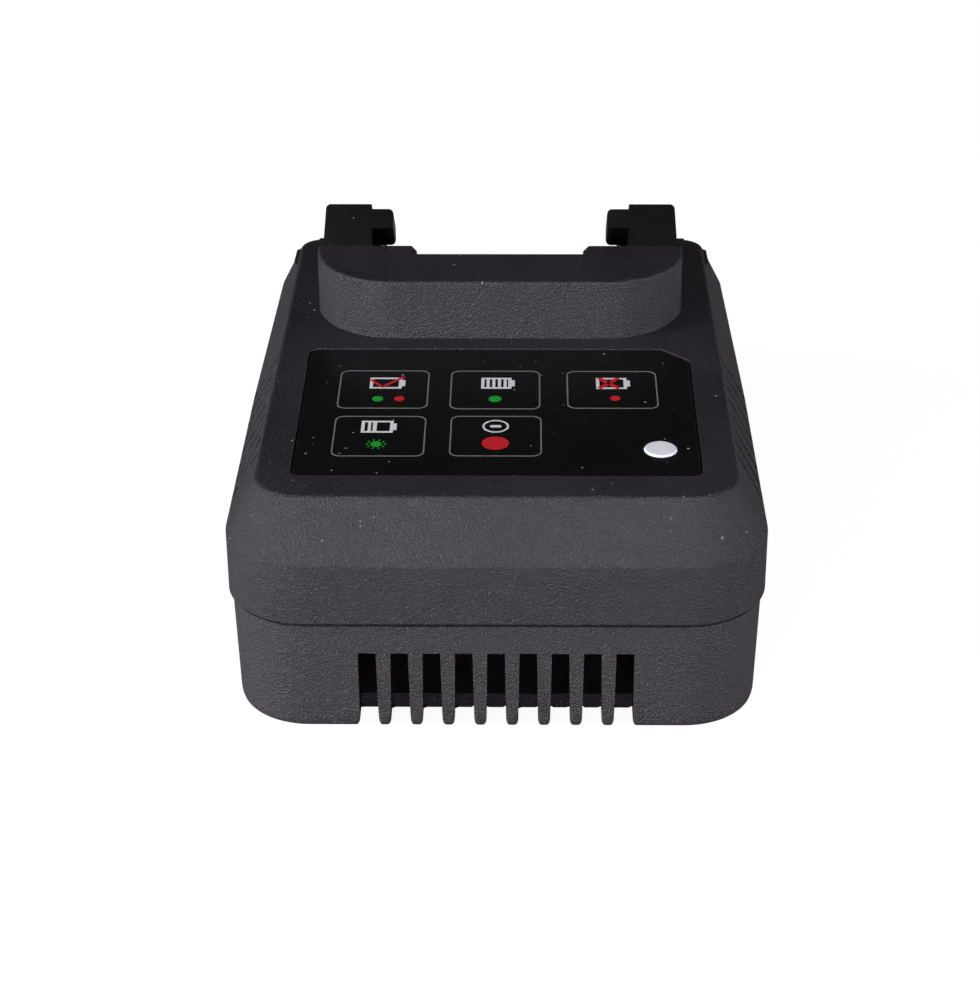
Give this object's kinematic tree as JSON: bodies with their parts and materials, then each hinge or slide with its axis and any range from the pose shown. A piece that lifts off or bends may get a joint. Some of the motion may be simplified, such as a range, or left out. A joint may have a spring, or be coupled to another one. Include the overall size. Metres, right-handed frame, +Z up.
{
  "type": "power tool battery charger",
  "caption": "Bench battery charger with a bevelled case, a black status panel, a wrapped row of vents and a sloping slide-in dock with lipped rails and contact blades.",
  "frame": {"origin": "on the ground under the middle of the case", "axes": "+X to the right seen from the label's side, +Y from the vented front to the inlet at the back, +Z up"},
  "size_m": [0.0956, 0.123, 0.0623],
  "materials": {
    "case_upper": "fine spark-eroded grain",
    "case_lower": "fine spark-eroded grain",
    "dock_plastic": "smooth satin black",
    "terminal_plastic": "satin",
    "blade_metal": "tin-plated, bright",
    "label_gloss": "gloss black film",
    "lens_white": "milky diffuser",
    "board_laminate": "solder mask",
    "ferrite": "matt sintered",
    "winding_tape": "polyester tape",
    "capacitor_sleeve": "shrink sleeve",
    "film_yellow": "moulded box",
    "sink_aluminium": "extruded",
    "package_black": "moulded epoxy",
    "choke_ferrite": "coated ring",
    "fuse_glass": "clear tube",
    "led_clear": "clear epoxy",
    "inlet_plastic": "satin",
    "pin_metal": "nickel plated",
    "screw_steel": "black oxide steel",
    "foot_rubber": "matt"
  },
  "bodies": {
    "root": {"base_cover": "case_lower", "top_cover": "case_upper", "battery_dock": "dock_plastic", "terminal_block": "terminal_plastic", "positive_blade": "blade_metal", "data_blade": "blade_metal", "thermistor_blade": "blade_metal", "negative_blade": "blade_metal", "label_panel": "label_gloss", "light_pipe": "lens_white", "circuit_board": "board_laminate", "transformer_core": "ferrite", "transformer_winding": "winding_tape", "input_capacitor": "capacitor_sleeve", "output_capacitors": "capacitor_sleeve", "film_capacitor": "film_yellow", "heat_sink": "sink_aluminium", "switching_transistor": "package_black", "output_rectifier": "package_black", "line_choke": "choke_ferrite", "fuse": "fuse_glass", "bridge_rectifier": "package_black", "control_chip": "package_black", "status_led": "led_clear", "inlet_socket": "inlet_plastic", "inlet_pins": "pin_metal", "case_screws": "screw_steel", "board_screws": "screw_steel", "rubber_feet": "foot_rubber"}
  },
  "joints": []
}
